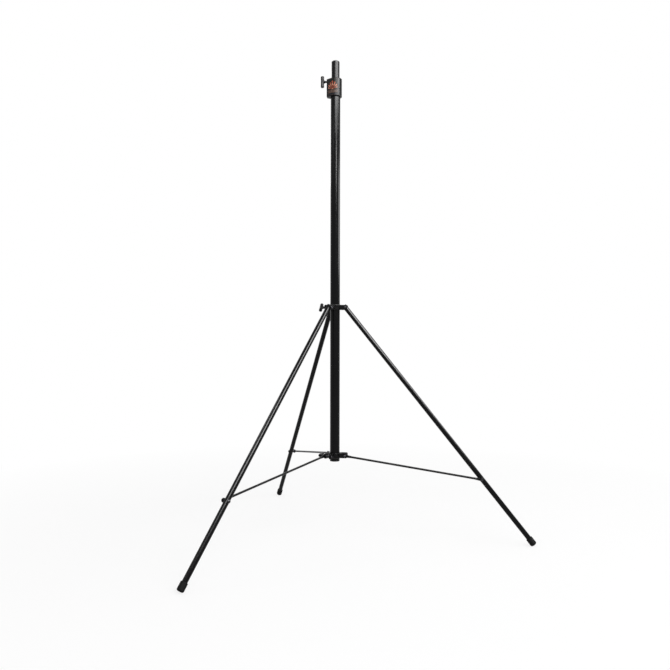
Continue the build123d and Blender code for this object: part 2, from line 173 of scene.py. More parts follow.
@dataclass(frozen=True)
class Finish:
    """One material and how its surface was made. Pattern sizes are in millimetres."""

    name: str
    colour: str
    handled: str
    roughness: tuple[float, float]
    grain_mm: float
    grain_depth_mm: float
    metallic: float = 0.0
    ior: float = 1.5
    patch_mm: float = 60.0
    patch_share: float = 0.5
    grain: Grain = Grain.EVEN

    def material(self) -> bpy.types.Material:
        """Return the finish's material, made once.

        Returns:
            A Principled material: colour and gloss wander in soft patches of patch_mm, and a fine
            grain of grain_mm lifts the surface by grain_depth_mm.
        """
        made = bpy.data.materials.get(self.name)
        if made is not None:
            return made
        made = bpy.data.materials.new(self.name)
        tree = blank_tree(made)
        place = add_node(tree, "ShaderNodeTexCoord")
        lie = add_node(
            tree, "ShaderNodeMapping", {"Scale": self.grain.value}, {"Vector": place.outputs["Object"]}
        )
        patch = add_node(
            tree,
            "ShaderNodeTexNoise",
            {"Scale": 1 / (self.patch_mm * MM), "Detail": 4.0, "Roughness": 0.6},
            {"Vector": lie.outputs["Vector"]},
        )
        grain = add_node(
            tree,
            "ShaderNodeTexNoise",
            {"Scale": 1 / (self.grain_mm * MM), "Detail": 2.0},
            {"Vector": lie.outputs["Vector"]},
        )
        share = add_node(
            tree,
            "ShaderNodeMapRange",
            ramp(PATCH_RANGE, (0.0, self.patch_share)),
            {"Value": patch.outputs["Fac"]},
        )
        colour = add_node(
            tree,
            "ShaderNodeMix",
            {"data_type": "RGBA"},
            {0: share.outputs["Result"]},
        )
        colour.inputs[6].default_value = linear(self.colour)
        colour.inputs[7].default_value = linear(self.handled)
        gloss = add_node(
            tree,
            "ShaderNodeMapRange",
            ramp(GLOSS_RANGE, self.roughness),
            {"Value": patch.outputs["Fac"]},
        )
        relief = add_node(
            tree,
            "ShaderNodeBump",
            {"Strength": 1.0, "Distance": self.grain_depth_mm * MM},
            {"Height": grain.outputs["Fac"]},
        )
        shader = add_node(
            tree,
            "ShaderNodeBsdfPrincipled",
            {"Metallic": self.metallic, "IOR": self.ior},
            {
                "Base Color": colour.outputs[2],
                "Roughness": gloss.outputs["Result"],
                "Normal": relief.outputs["Normal"],
            },
        )
        add_node(tree, "ShaderNodeOutputMaterial", links={"Surface": shader.outputs["BSDF"]})
        return made


# Index of the black coatings: low, so that white surroundings leave them black.
DEEP_BLACK_IOR = 1.2

# Stoved enamel on steel tube: deep black and glossy, with a faint orange peel that softens the highlight.
TUBE_ENAMEL = Finish(
    "black_stoved_enamel", "#040405", "#0A0A0B", (0.14, 0.2), 2.2, 0.006, ior=DEEP_BLACK_IOR, patch_mm=90
)
# The same enamel rubbed along its length by the guide bush: a broader, greyer highlight.
RISER_ENAMEL = Finish(
    "rubbed_satin_enamel",
    "#060607",
    "#161618",
    (0.24, 0.34),
    0.9,
    0.006,
    ior=DEEP_BLACK_IOR,
    patch_mm=25,
    grain=Grain.DRAWN,
)
# Powder coat over die-cast aluminium: thick, rounded at edges, with a pebbled skin.
CASTING_COAT = Finish(
    "powder_coated_die_casting",
    "#050506",
    "#101012",
    (0.22, 0.34),
    1.4,
    0.02,
    ior=DEEP_BLACK_IOR,
    patch_mm=18,
)
# Glass-filled nylon moulding, polished by hands on its high places.
HANDLE_NYLON = Finish(
    "glass_filled_nylon_moulding",
    "#060607",
    "#121213",
    (0.22, 0.34),
    0.8,
    0.008,
    ior=DEEP_BLACK_IOR,
    patch_mm=12,
)
# Plain polyethylene moulding: a waxy, even sheen.
PLUG_PLASTIC = Finish(
    "black_polyethylene_moulding", "#0B0B0C", "#1A1A1B", (0.36, 0.48), 0.7, 0.01, patch_mm=14
)
# Acetal sleeve, turned and burnished by the tube that runs in it.
BEARING_PLASTIC = Finish(
    "black_acetal_bearing", "#101011", "#242425", (0.34, 0.46), 0.5, 0.006, patch_mm=12
)
# Soft rubber: matt, with floor dust in its pores.
FOOT_RUBBER = Finish(
    "black_moulded_rubber", "#020202", "#080807", (0.7, 0.86), 0.6, 0.02, ior=DEEP_BLACK_IOR, patch_mm=9
)
# Black zinc plate on turned steel: a dark grey that still glints at its edges.
ZINC_PLATE = Finish(
    "black_zinc_plate", "#2A2A2C", "#3C3C3E", (0.32, 0.44), 0.35, 0.003, metallic=1.0, patch_mm=4
)
# Black oxide on a socket screw: dark, faintly oily steel.
BLACK_OXIDE = Finish(
    "black_oxide_steel", "#26262A", "#3A3A3E", (0.3, 0.42), 0.3, 0.003, metallic=1.0, patch_mm=3
)
# Dyed nylon locking ring.
NYLON_RING = Finish("black_nylon", "#101011", "#1C1C1E", (0.4, 0.5), 0.4, 0.004, patch_mm=3)

CAD_FINISHES: dict[str, Finish] = {
    "mast_tube": TUBE_ENAMEL,
    "leg_tube": TUBE_ENAMEL,
    "brace_rod": TUBE_ENAMEL,
    "riser_tube": RISER_ENAMEL,
    "head_casting": CASTING_COAT,
    "leg_collar": CASTING_COAT,
    "brace_collar": CASTING_COAT,
    "mast_end_plug": PLUG_PLASTIC,
    "riser_cap": PLUG_PLASTIC,
    "leg_top_plug": PLUG_PLASTIC,
    "guide_bush": BEARING_PLASTIC,
    "riser_glide": BEARING_PLASTIC,
    "leg_collar_liner": BEARING_PLASTIC,
    "brace_collar_liner": BEARING_PLASTIC,
    "head_lock_pad": BEARING_PLASTIC,
    "leg_collar_lock_pad": BEARING_PLASTIC,
    "brace_collar_lock_pad": BEARING_PLASTIC,
    "head_grub_screws": BLACK_OXIDE,
    "brace_pivot_spacers": ZINC_PLATE,
    "brace_spacer": ZINC_PLATE,
}


# ---------------------------------------------------------------------------------- surfaces


def swept(radius: Array, height: Array, angle: Array) -> Array:
    """Points round Z: x = r cos a, y = r sin a, z = h.

    Args:
        radius: One radius for each row, as a column, or one for each point.
        height: One height for each row.
        angle: One angle for each column.

    Returns:
        A grid of points.
    """
    level = np.outer(height, np.ones_like(angle))
    return np.stack([radius * np.cos(angle), radius * np.sin(angle), level], axis=-1)


def turned(profile: list[tuple[float, float]], sides: int = SIDES) -> Array:
    """Turn a profile about Z.

    Args:
        profile: Points of radius and height, in order along the surface.
        sides: Steps in one turn.

    Returns:
        A grid of points, one row for each profile point, its last column on its first.
    """
    radius, height = np.array(profile, float).T
    return swept(radius[:, None], height, np.linspace(0, 2 * math.pi, sides + 1))


def hexagonal(flats: float, rows: list[tuple[float, float]], sides: int = SIDES) -> Array:
    """Rows of a hexagon held inside a circle: r = the smaller of the circle and flats / 2 cos b,
    where b is the angle from the nearest flat's middle.

    Args:
        flats: Width across the flats.
        rows: Circle radius and height of each row.
        sides: Steps in one turn, a multiple of 12.

    Returns:
        A grid of points that stacks with a turned one.
    """
    circle, height = np.array(rows, float).T
    angle = np.linspace(0, 2 * math.pi, sides + 1)
    from_flat = (angle + math.pi / 6) % (math.pi / 3) - math.pi / 6
    return swept(np.minimum(circle[:, None], (flats / 2 / np.cos(from_flat))[None, :]), height, angle)


def threaded(crest_r: float, pitch: float, start: float, end: float, sides: int = SIDES) -> Array:
    """A right-hand thread along Z: the radius rises from root to crest and back once for each pitch
    of z less the share of a turn, with flat roots and crests, and a chamfer at both ends.

    Args:
        crest_r: Radius over the crests.
        pitch: Distance between crests.
        start: Height of the first row.
        end: Height of the last row, above or below the first.
        sides: Steps in one turn.

    Returns:
        A grid of points that stacks with a turned one.
    """
    depth = THREAD_DEPTH * pitch
    rows = max(THREAD_ROWS, round(abs(end - start) / pitch * THREAD_ROWS))
    height = np.linspace(start, end, rows + 1)
    angle = np.linspace(0, 2 * math.pi, sides + 1)
    phase = (height[:, None] / pitch - angle[None, :] / (2 * math.pi)) % 1.0
    ridge = np.clip((1 - np.abs(2 * phase - 1) - THREAD_FLAT) / THREAD_FLANKS, 0, 1)
    to_end = np.minimum(np.abs(height - start), np.abs(end - height))[:, None]
    return swept(np.minimum(crest_r - depth * (1 - ridge), crest_r - depth + to_end), height, angle)


def rotation(degrees: float, axis: str) -> Array:
    """Work out a rotation about an axis through the origin.

    Args:
        degrees: The angle, by the right-hand rule.
        axis: "X", "Y" or "Z".

    Returns:
        The rotation as a 4 by 4 array.
    """
    return np.array(Matrix.Rotation(math.radians(degrees), 4, axis))


def offset(x: float = 0.0, y: float = 0.0, z: float = 0.0) -> Array:
    """A move by x, y and z, as a 4 by 4 array."""
    return np.array(Matrix.Translation((x, y, z)))


def placed(grid: Array, place: Array) -> Array:
    """Carry a grid's points to their place.

    Args:
        grid: The points.
        place: The move as a 4 by 4 array.

    Returns:
        The moved points, as a grid of the same shape.
    """
    return grid @ place[:3, :3].T + place[:3, 3]


def grid_faces(rows: int, columns: int) -> NDArray[np.int64]:
    """Work out the quads between neighbouring rows and columns of a grid.

    Args:
        rows: The grid's rows.
        columns: The grid's columns.

    Returns:
        Four corner numbers for each quad.
    """
    first = (np.arange(rows - 1)[:, None] * columns + np.arange(columns - 1)[None, :]).ravel()
    return np.stack([first, first + 1, first + columns + 1, first + columns], axis=-1)


def make_piece(name: str, solids: list[tuple[Array, Finish]], sharp: float = 32.0) -> bpy.types.Object:
    """Make one object from grids in millimetres, with seams and poles welded and faces turned outwards.

    Args:
        name: The object's name.
        solids: Grids of points with the finish of each.
        sharp: Edges that turn by more than this many degrees are shaded sharp.

    Returns:
        The object, at the origin, with its place in its mesh.
    """
    finishes = list(dict.fromkeys(finish for _, finish in solids))
    points, faces, slots, start = [], [], [], 0
    for grid, finish in solids:
        quads = grid_faces(*grid.shape[:2]) + start
        points.append(grid.reshape(-1, 3) * MM)
        faces.append(quads)
        slots.append(np.full(len(quads), finishes.index(finish)))
        start += grid.shape[0] * grid.shape[1]
    mesh = bpy.data.meshes.new(name)
    mesh.from_pydata(np.concatenate(points).tolist(), [], np.concatenate(faces).tolist())
    mesh.polygons.foreach_set("material_index", np.concatenate(slots).astype(np.int32))
    shaped = bmesh.new()
    shaped.from_mesh(mesh)
    bmesh.ops.remove_doubles(shaped, verts=shaped.verts, dist=WELD_DISTANCE)
    bmesh.ops.recalc_face_normals(shaped, faces=shaped.faces)
    shaped.to_mesh(mesh)
    shaped.free()
    for finish in finishes:
        mesh.materials.append(finish.material())
    mesh.shade_smooth()
    mesh.set_sharp_from_angle(angle=math.radians(sharp))
    piece = bpy.data.objects.new(name, mesh)
    bpy.context.scene.collection.objects.link(piece)
    return piece


def hand_over(piece: bpy.types.Object, body: str, slot: str, *nodes: str) -> None:
    """Attach a finished piece to its body, and hide the CAD nodes that it stands for.

    Args:
        piece: The finished piece.
        body: The body that it rides.
        slot: Its material slot in the record. Not used.
        nodes: The CAD nodes that it replaces.
    """
    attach(piece, body)
    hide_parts(*nodes)
    LOG.info("%s: %d faces on %s, for %s", piece.name, len(piece.data.polygons), body, ", ".join(nodes))


def evaluated_copy(piece: bpy.types.Object, name: str) -> bpy.types.Mesh:
    """Return the piece's mesh with its modifiers applied, under a new name."""
    graph = bpy.context.evaluated_depsgraph_get()
    mesh = bpy.data.meshes.new_from_object(piece.evaluated_get(graph), depsgraph=graph)
    mesh.name = name
    return mesh


# ---------------------------------------------------------------------------------- the stand's layout


@dataclass(frozen=True)
class Layout:
    """Where the stand's joints lie, spread for use and with the riser down."""

    mast_r: float = 19.05
    riser_r: float = 15.875
    leg_r: float = 9.525
    pivot_r: float = 41.554
    leg_pivot_z: float = 904.983
    brace_pivot_z: float = 323.0
    brace_length: float = 531.789
    brace_slope: float = -8.123
    brace_side: float = 16.55
    eye_thick: float = 4.5
    face_clear: float = 0.3
    joint_down_leg: float = 842.0
    leg_length: float = 1152.5
    leg_tilt: float = 38.7
    cheek_outer: float = 14.0
    head_base_z: float = 1734.75
    head_screw_z: float = 1797.75

    def around(self, index: int) -> Array:
        """The turn that carries leg 1's pieces to another leg."""
        return rotation(120.0 * index, "Z")

    def leg(self, index: int) -> Array:
        """From a leg hanging from the origin to its spread place."""
        hung = offset(self.pivot_r, 0, self.leg_pivot_z) @ rotation(-self.leg_tilt, "Y")
        return self.around(index) @ hung

    def brace(self, index: int) -> Array:
        """From a brace lying along +X from the origin to its spread place."""
        laid = offset(self.pivot_r, -self.brace_side, self.brace_pivot_z) @ rotation(-self.brace_slope, "Y")
        return self.around(index) @ laid

    def screw(self, tube_r: float, height: float) -> Array:
        """From an upright screw, z = 0 on the tube, to its place pointing along -X."""
        return offset(0, 0, height) @ rotation(-90, "Y") @ offset(0, 0, tube_r)


ACROSS = rotation(-90, "X")
ACROSS_BACK = rotation(90, "X")


# ---------------------------------------------------------------------------------- fasteners


def chamfer_rows(flats: float, rim_share: float, count: int) -> list[tuple[float, float]]:
    """Rows of a hexagon's turned chamfer, from its rim out to its corners.

    Args:
        flats: Width across the flats.
        rim_share: The rim's radius as a share of the width.
        count: How many rows.

    Returns:
        The radius of each row and how far it lies from the rim's plane.
    """
    corner, rim = flats / math.sqrt(3), rim_share * flats
    drops = np.linspace(0, (corner - rim) / CHAMFER_SLOPE, count)
    return [(rim + drop * CHAMFER_SLOPE, drop) for drop in drops]


@dataclass(frozen=True)
class HexBolt:
    """M6 hexagon bolt: seat at z = 0, head above it, shank below."""

    flats: float = 10.0
    head: float = 4.0
    shank_r: float = 3.0
    pitch: float = 1.0
    rim_share: float = 0.475
    dish: float = 0.3
    dish_shares: tuple[float, float] = (0.3, 0.36)
    washer_face: float = 0.3
    washer_share: float = 0.46

    def grid(self, length: float, threads: float) -> Array:
        """Work out the bolt's surface, from the middle of its head to the end of its shank.

        Args:
            length: Shank below the seat.
            threads: How much of the shank's end is threaded.

        Returns:
            One closed grid.
        """
        corner = self.flats / math.sqrt(3)
        crown = [(radius, self.head - drop) for radius, drop in chamfer_rows(self.flats, self.rim_share, 5)]
        dish_z = self.head - self.dish
        dish_r, dish_rim = (share * self.flats for share in self.dish_shares)
        top = turned([(0, dish_z), (dish_r, dish_z), (dish_rim, self.head)])
        side = hexagonal(self.flats, [*crown, (corner, self.washer_face)])
        washer_r = self.washer_share * self.flats
        seat = turned([(washer_r, self.washer_face), (washer_r, 0), (self.shank_r, 0)])
        plain = turned([(self.shank_r, 0), (self.shank_r, threads - length)])
        thread = threaded(self.shank_r, self.pitch, threads - length, -length)
        return np.concatenate([top, side, seat, plain, thread, turned([(0, -length)])])


@dataclass(frozen=True)
class LockNut:
    """M6 lock nut: seat at z = 0, with a nylon ring crimped into its crown."""

    flats: float = 10.0
    height: float = 6.0
    body: float = 4.4
    rim_share: float = 0.48
    bore_r: float = 3.02

    def solids(self) -> list[tuple[Array, Finish]]:
        """Work out the steel nut and its nylon ring, each a closed grid.

        Returns:
            The two grids with their finishes.
        """
        lower = chamfer_rows(self.flats, self.rim_share, 4)
        upper = [(radius, self.body - drop) for radius, drop in lower[::-1]]
        crown_r = self.flats / 2 - 0.4
        crown = [
            (crown_r, self.body),
            (crown_r, self.height - 0.7),
            (crown_r - 0.25, self.height - 0.2),
            (crown_r - 0.7, self.height),
            (crown_r - 0.95, self.height - 0.15),
            (crown_r - 0.95, self.body + 0.3),
            (self.bore_r, self.body + 0.3),
            (self.bore_r, 0.4),
            (self.bore_r + 0.4, 0),
        ]
        flanks = hexagonal(self.flats, [*lower, *upper])
        steel = np.concatenate([turned([crown[-1]]), flanks, turned(crown)])
        ring_r = crown_r - 1.0
        low, high = self.body + 0.35, self.height - 0.3
        lip = [(self.bore_r + 0.2, high), (self.bore_r, high - 0.2)]
        ring = turned([(self.bore_r, low), (ring_r, low), (ring_r, high), *lip])
        return [(steel, ZINC_PLATE), (np.concatenate([ring, ring[:1]]), NYLON_RING)]


@dataclass
class Pivots:
    """The bolts and lock nuts of one collar's three clevises."""

    name: str
    body: str
    height: float
    nut_seat: float
    layout: Layout
    bolt: HexBolt = field(default_factory=HexBolt)
    nut: LockNut = field(default_factory=LockNut)
    tail: float = 1.5
    threads: float = 12.0

    def place(self, index: int) -> Array:
        """From an upright fastener at the origin to one leg's pivot, pointing along +Y there."""
        return self.layout.around(index) @ offset(self.layout.pivot_r, 0, self.height)

    def build(self) -> None:
        """Make the three bolts as one piece and the three nuts as another."""
        seat = self.layout.cheek_outer
        bolt = placed(
            self.bolt.grid(seat + self.nut_seat + self.nut.height + self.tail, self.threads),
            ACROSS @ offset(z=seat),
        )
        bolts = make_piece(
            f"{self.name}_pivot_bolt_set", [(placed(bolt, self.place(i)), ZINC_PLATE) for i in range(3)]
        )
        hand_over(bolts, self.body, "zinc_steel", f"{self.name}_pivot_bolts")
        seated = offset(y=-self.nut_seat) @ ACROSS_BACK
        solids = [
            (placed(grid, self.place(i) @ seated), finish)
            for i in range(3)
            for grid, finish in self.nut.solids()
        ]
        nuts = make_piece(f"{self.name}_pivot_lock_nuts", solids)
        hand_over(nuts, self.body, "zinc_steel", f"{self.name}_pivot_nuts")


# ---------------------------------------------------------------------------------- tee screws


@dataclass
class TeeScrew:
    """One clamp screw: an M8 stud with a turned nose, moulded into a tee handle."""

    place_name: str
    tube_r: float
    height: float
    turn: float
    layout: Layout
    stud_r: float = 4.0
    pitch: float = 1.25
    nose_r: float = 2.6
    nose_start: float = 2.4
    shoulder: float = 5.2
    stud_short: float = 0.4
    bar_at: float = 36.4
    bar_r: float = 6.75
    bar_length: float = 44.5
    bar_end_r: float = 2.7
    waist_half: float = 18.0
    waist_depth: float = 0.35
    hub_length: float = 6.2
    hub_r: float = 4.7
    hub_half: float = 9.0
    hub_wide: float = 0.9
    hub_sunk: float = 2.5
    parting_height: float = 0.16
    parting_width: float = 0.35
    voxel: float = 0.5
    bore_clear: float = 0.02

    def stud(self) -> Array:
        """Work out the stud from its nose to its end inside the handle, as one closed grid."""
        nose = turned(
            [
                (0, self.nose_start),
                (self.nose_r - 0.3, self.nose_start),
                (self.nose_r, self.nose_start + 0.3),
                (self.nose_r, self.shoulder),
            ]
        )
        end = self.bar_at - self.stud_short
        thread = threaded(self.stud_r, self.pitch, self.shoulder, end)
        return np.concatenate([nose, thread, turned([(0, end)])])

    def bar(self) -> Array:
        """Work out the handle's bar: a rod along X, thinner at its waist, with quarter-round ends."""
        half, corner = self.bar_length / 2, self.bar_end_r
        arc = np.linspace(0, math.pi / 2, 8)
        flat_r, flat_x = self.bar_r - corner, half - corner
        right = [(flat_r + corner * math.cos(a), flat_x + corner * math.sin(a)) for a in arc]
        left = [(r, -x) for r, x in right[::-1]]
        waist = [
            (self.bar_r - self.waist_depth * math.cos(x / half * math.pi / 2) ** 2, x)
            for x in np.linspace(-self.waist_half, self.waist_half, 25)
        ]
        profile = [(0, -half), *left, *waist, *right, (0, half)]
        return placed(turned(profile), offset(z=self.bar_at) @ rotation(90, "Y"))

    def hub(self) -> Array:
        """Work out the hub: sections from a circle at the boss to an ellipse sunk in the bar, whose
        half width grows with the square of the way up and whose ends are flat."""
        share = np.linspace(0, 1, 13)[:, None]
        angle = np.linspace(0, 2 * math.pi, SIDES + 1)[None, :]
        along = self.hub_r + (self.hub_half - self.hub_r) * share**2
        across = self.hub_r + (self.bar_r * self.hub_wide - self.hub_r) * share
        low = self.bar_at - self.bar_r - self.hub_length
        height = low + (self.bar_at - self.hub_sunk - low) * share
        level = np.broadcast_to(height, along.shape) + 0 * angle
        wall = np.stack([along * np.cos(angle), across * np.sin(angle), level], axis=-1)
        return np.concatenate([turned([(0, low)]), wall, turned([(0, self.bar_at - self.hub_sunk)])])

    def handle(self, name: str) -> bpy.types.Object:
        """Blend bar and hub into one moulding with a raised parting line, and bore it for the stud.

        Args:
            name: The object's name.

        Returns:
            The handle, upright at the origin of the screw's own axis.
        """
        rough = make_piece(f"{name}_rough", [(self.bar(), HANDLE_NYLON), (self.hub(), HANDLE_NYLON)])
        remesh = rough.modifiers.new("blend", "REMESH")
        remesh.mode, remesh.voxel_size = "VOXEL", self.voxel * MM
        smooth = rough.modifiers.new("fillet", "SMOOTH")
        smooth.factor, smooth.iterations = 0.5, 10
        mesh = evaluated_copy(rough, name)
        self.raise_parting_line(mesh)
        rough.modifiers.clear()
        rough.data = mesh
        bore_r = self.stud_r + self.bore_clear
        core = turned([(0, 0), (bore_r, 0), (bore_r, self.bar_at), (0, self.bar_at)])
        drill = make_piece(f"{name}_drill", [(core, HANDLE_NYLON)])
        cut = rough.modifiers.new("bore", "BOOLEAN")
        cut.operation, cut.object, cut.solver = "DIFFERENCE", drill, "EXACT"
        rough.data = evaluated_copy(rough, name)
        rough.modifiers.clear()
        bpy.data.objects.remove(drill)
        rough.name = name
        return rough

    def raise_parting_line(self, mesh: bpy.types.Mesh) -> None:
        """Lift the points near the handle's middle plane, by a bell curve of their distance from it."""
        count = len(mesh.vertices)
        points, normals = np.empty(count * 3), np.empty(count * 3)
        mesh.vertices.foreach_get("co", points)
        mesh.vertices.foreach_get("normal", normals)
        points, normals = points.reshape(-1, 3), normals.reshape(-1, 3)
        bell = np.exp(-((points[:, 1] / (self.parting_width * MM)) ** 2))
        points += normals * (bell * self.parting_height * MM)[:, None]
        mesh.vertices.foreach_set("co", points.ravel())
        mesh.update()

    def build(self) -> None:
        """Make the stud and the handle, and lay them on the screw's axis."""
        body = f"{self.place_name}_screw"
        laid = self.layout.screw(self.tube_r, self.height)
        stud = make_piece(f"{self.place_name}_threaded_stud", [(placed(self.stud(), laid), ZINC_PLATE)])
        hand_over(stud, body, "zinc_steel", f"{self.place_name}_lock_stud")
        handle = self.handle(f"{self.place_name}_tee_handle")
        place = laid @ rotation(self.turn, "Z")
        place[:3, 3] *= MM
        handle.data.transform(Matrix(place.tolist()))
        hand_over(handle, body, "black_tee", f"{self.place_name}_lock_tee")


# ---------------------------------------------------------------------------------- legs


@dataclass
class Leg:
    """One leg's moulded foot and sleeve nut, and the screw of the brace that joins it."""

    index: int
    layout: Layout
    foot_r: float = 12.425
    foot_length: float = 30.0
    sole: float = 5.5
    edge_r: float = 5.5
    rim_r: float = 1.0
    ring_depth: float = 0.35
    groove_down: float = 5.0
    barrel_r: float = 4.0
    bore_r: float = 3.0
    bore_chamfer: float = 0.5
    head_r: float = 6.5
    head: float = 3.5
    brim: float = 0.8
    socket_flats: float = 4.0
    socket_depth: float = 2.2
    bolt: HexBolt = field(default_factory=HexBolt)

    def foot(self) -> Array:
        """Work out the rubber foot: a sole with two moulded rings, a quarter-round edge, a straight
        wall with a shallow groove under its rim, and the socket that grips the tube."""
        arc = np.linspace(0, math.pi / 2, 12)
        flat = self.foot_r - self.edge_r
        deep = self.ring_depth
        inner_ring = [(1.3, 0), (1.5, deep), (2.1, deep), (2.3, 0)]
        outer_ring = [(3.3, 0), (3.5, deep), (4.0, deep), (4.2, 0)]
        sole = [(0, 0), *inner_ring, *outer_ring]
        edge = [(flat + self.edge_r * math.sin(a), self.edge_r * (1 - math.cos(a))) for a in arc]
        groove_z = self.foot_length - self.groove_down
        groove = [
            (self.foot_r, groove_z - 0.8),
            (self.foot_r - deep, groove_z - 0.4),
            (self.foot_r - deep, groove_z + 0.4),
            (self.foot_r, groove_z + 0.8),
        ]
        quarter = np.linspace(0, math.pi / 2, 5)
        rim_at, rim_z = self.foot_r - self.rim_r, self.foot_length - self.rim_r
        rim = [(rim_at + self.rim_r * math.cos(a), rim_z + self.rim_r * math.sin(a)) for a in quarter]
        socket = [(self.layout.leg_r, self.foot_length), (self.layout.leg_r, self.sole), (0, self.sole)]
        return placed(turned([*sole, *edge, *groove, *rim, *socket], 64), offset(z=-self.layout.leg_length))

    def sleeve_nut(self) -> Array:
        """Work out the sleeve nut: a bored barrel across the leg and a domed head with a hexagon socket."""
        leg_r, bore_r, chamfer = self.layout.leg_r, self.bore_r, self.bore_chamfer
        barrel = turned(
            [
                (0, leg_r),
                (bore_r, leg_r),
                (bore_r, chamfer - leg_r),
                (bore_r + chamfer, -leg_r),
                (self.barrel_r, -leg_r),
                (self.barrel_r, leg_r),
                (self.head_r - 0.3, leg_r),
            ]
        )
        corner = self.socket_flats / math.sqrt(3)
        mouth = corner + 0.25
        rise = np.linspace(0, 1, 9)
        brim = leg_r + self.brim
        crown = self.head - self.brim
        dome = turned(
            [
                (self.head_r - (self.head_r - mouth) * s, brim + crown * math.sin(s * math.pi / 2))
                for s in rise
            ]
        )
        top = leg_r + self.head
        socket = hexagonal(self.socket_flats, [(corner, top - 0.15), (corner, top - self.socket_depth)])
        return np.concatenate([barrel, dome, socket, turned([(0, top - self.socket_depth - 0.5)])])

    def brace_screw(self) -> Array:
        """Work out the brace's screw, head outwards and its thread ending at the leg's side."""
        layout = self.layout
        gap = layout.brace_side - layout.eye_thick / 2 - layout.leg_r - layout.face_clear
        grid = self.bolt.grid(layout.eye_thick + gap, gap)
        return placed(grid, offset(layout.brace_length, -layout.eye_thick / 2, 0) @ ACROSS_BACK)

    def build(self) -> None:
        """Make the leg's foot and nut and the brace's screw."""
        n = self.index + 1
        leg, brace = self.layout.leg(self.index), self.layout.brace(self.index)
        foot = make_piece(f"rubber_foot_{n}", [(placed(self.foot(), leg), FOOT_RUBBER)], 40)
        hand_over(foot, f"leg_{n}", "black_rubber", f"leg_foot_{n}")
        across = leg @ offset(z=-self.layout.joint_down_leg) @ ACROSS
        nut = make_piece(f"sleeve_nut_{n}", [(placed(self.sleeve_nut(), across), ZINC_PLATE)])
        hand_over(nut, f"leg_{n}", "zinc_steel", f"leg_barrel_nut_{n}")
        screw = make_piece(f"brace_hex_screw_{n}", [(placed(self.brace_screw(), brace), ZINC_PLATE)])
        hand_over(screw, f"brace_{n}", "zinc_steel", f"brace_screw_{n}")


# ---------------------------------------------------------------------------------- label


class Ink(Enum):
    """The label's printed colours."""

    GROUND = "#080C0A"
    BRICK = "#9E4F39"
    ROSE = "#C08069"
    UMBER = "#54423A"
    NAVY = "#0E121C"


